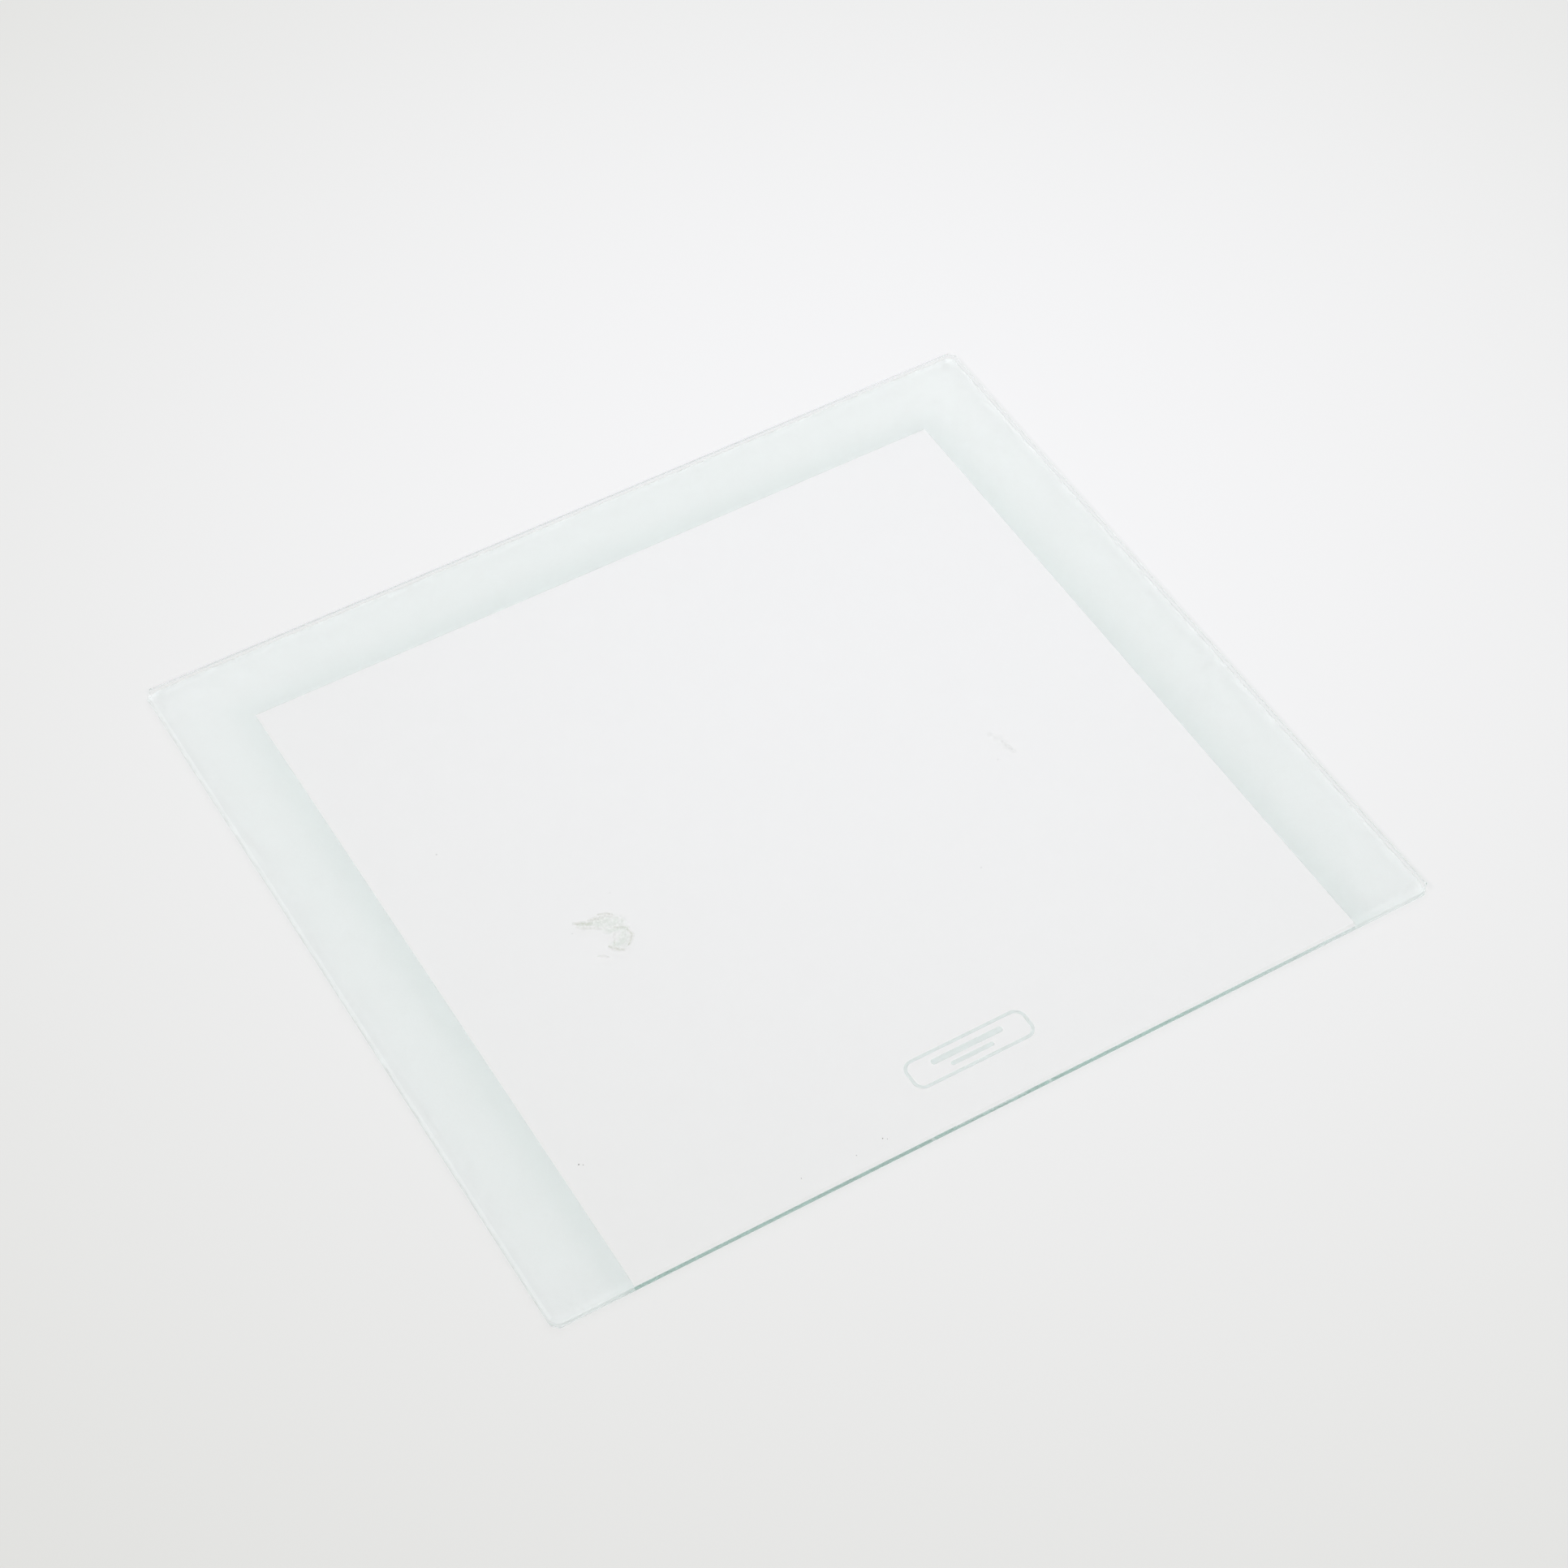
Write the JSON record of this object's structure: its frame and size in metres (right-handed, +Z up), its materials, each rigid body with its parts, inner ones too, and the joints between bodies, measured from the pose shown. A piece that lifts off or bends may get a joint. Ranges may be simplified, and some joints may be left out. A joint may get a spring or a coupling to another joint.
{
  "type": "crisper drawer cover",
  "caption": "Flat tempered glass pane with ground edges and a frosted border on three sides, which covers a refrigerator's crisper drawer and serves as a shelf.",
  "frame": {"origin": "centre of the pane's underside, on the surface it lies on", "axes": "+X to the right along the clear front edge, +Y from the front edge to the back edge, +Z up through the pane's thickness"},
  "size_m": [0.3682, 0.3302, 0.004],
  "materials": {
    "tempered_glass": "clear soda-lime glass with a faint green tint, polished faces and ground edges",
    "frosted_enamel": "matt translucent white enamel, fired into the underside of the glass"
  },
  "bodies": {
    "root": {"glass_pane": "tempered_glass", "frosted_border": "frosted_enamel"}
  },
  "joints": []
}
